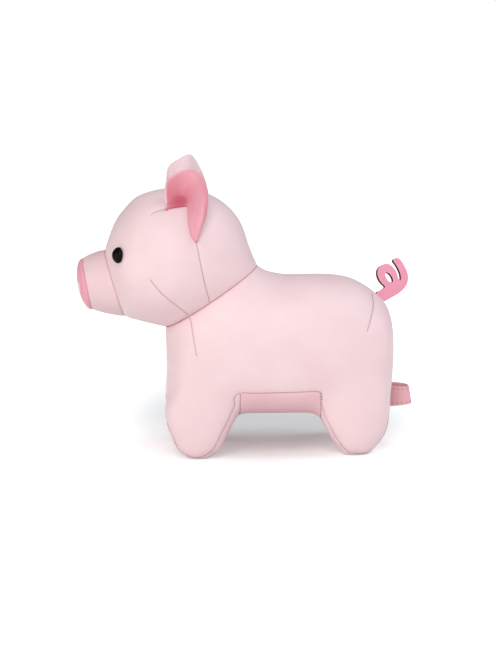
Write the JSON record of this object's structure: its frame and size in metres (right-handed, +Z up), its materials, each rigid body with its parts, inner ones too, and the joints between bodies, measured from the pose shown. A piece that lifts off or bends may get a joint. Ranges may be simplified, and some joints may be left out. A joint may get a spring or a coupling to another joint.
{
  "type": "stuffed toy pig",
  "caption": "Small stuffed toy pig in pale pink faux leather, with cupped ears, a flat curly tail and a loop tag at the rump.",
  "frame": {"origin": "on the floor plane, under the middle of the toy's bounding box", "axes": "+X from the nose towards the tail, +Y to the toy's right side, +Z up from the soles"},
  "size_m": [0.1501, 0.0736, 0.1313],
  "materials": {
    "cover": "smooth fine-grained faux leather, soft sheen",
    "nose": "smooth faux leather, soft sheen",
    "ear_lining": "smooth faux leather, soft sheen",
    "tail_face": "smooth faux leather",
    "tail_core": "dark cut edge",
    "tag": "smooth faux leather strap",
    "eye": "polished",
    "washer": "moulded",
    "filling": "polyester fibre"
  },
  "bodies": {
    "toy": {"body_side_left": "cover", "body_side_right": "cover", "belly_panel": "cover", "front_leg_gusset_left": "cover", "front_leg_gusset_right": "cover", "rear_leg_gusset_left": "cover", "rear_leg_gusset_right": "cover", "torso_filling": "filling", "front_leg_filling_left": "filling", "front_leg_filling_right": "filling", "rear_leg_filling_left": "filling", "rear_leg_filling_right": "filling", "head_side_left": "cover", "head_side_right": "cover", "muzzle_band": "cover", "nose_disc": "nose", "head_filling": "filling", "muzzle_filling": "filling", "ear_outer_left": "cover", "ear_outer_right": "cover", "ear_inner_left": "ear_lining", "ear_inner_right": "ear_lining", "eye_left": "eye", "eye_right": "eye", "eye_washer_left": "washer", "eye_washer_right": "washer"},
    "tail": {"tail_core": "tail_core", "tail_face_left": "tail_face", "tail_face_right": "tail_face"},
    "tag": {"loop_tag": "tag"}
  },
  "joints": [
    {"name": "tail_flex", "type": "hinge", "parent": "toy", "child": "tail", "pos_m": [0.0613, 0, 0.0679], "axis": [0.6701, 0, -0.7423], "range_deg": [-35, 35], "stiffness_Nm_per_rad": 0.0002},
    {"name": "tag_flex", "type": "hinge", "parent": "toy", "child": "tag", "pos_m": [0.0657, 0, 0.018], "axis": [0, 0, 1], "range_deg": [-30, 30], "stiffness_Nm_per_rad": 0.0002}
  ]
}
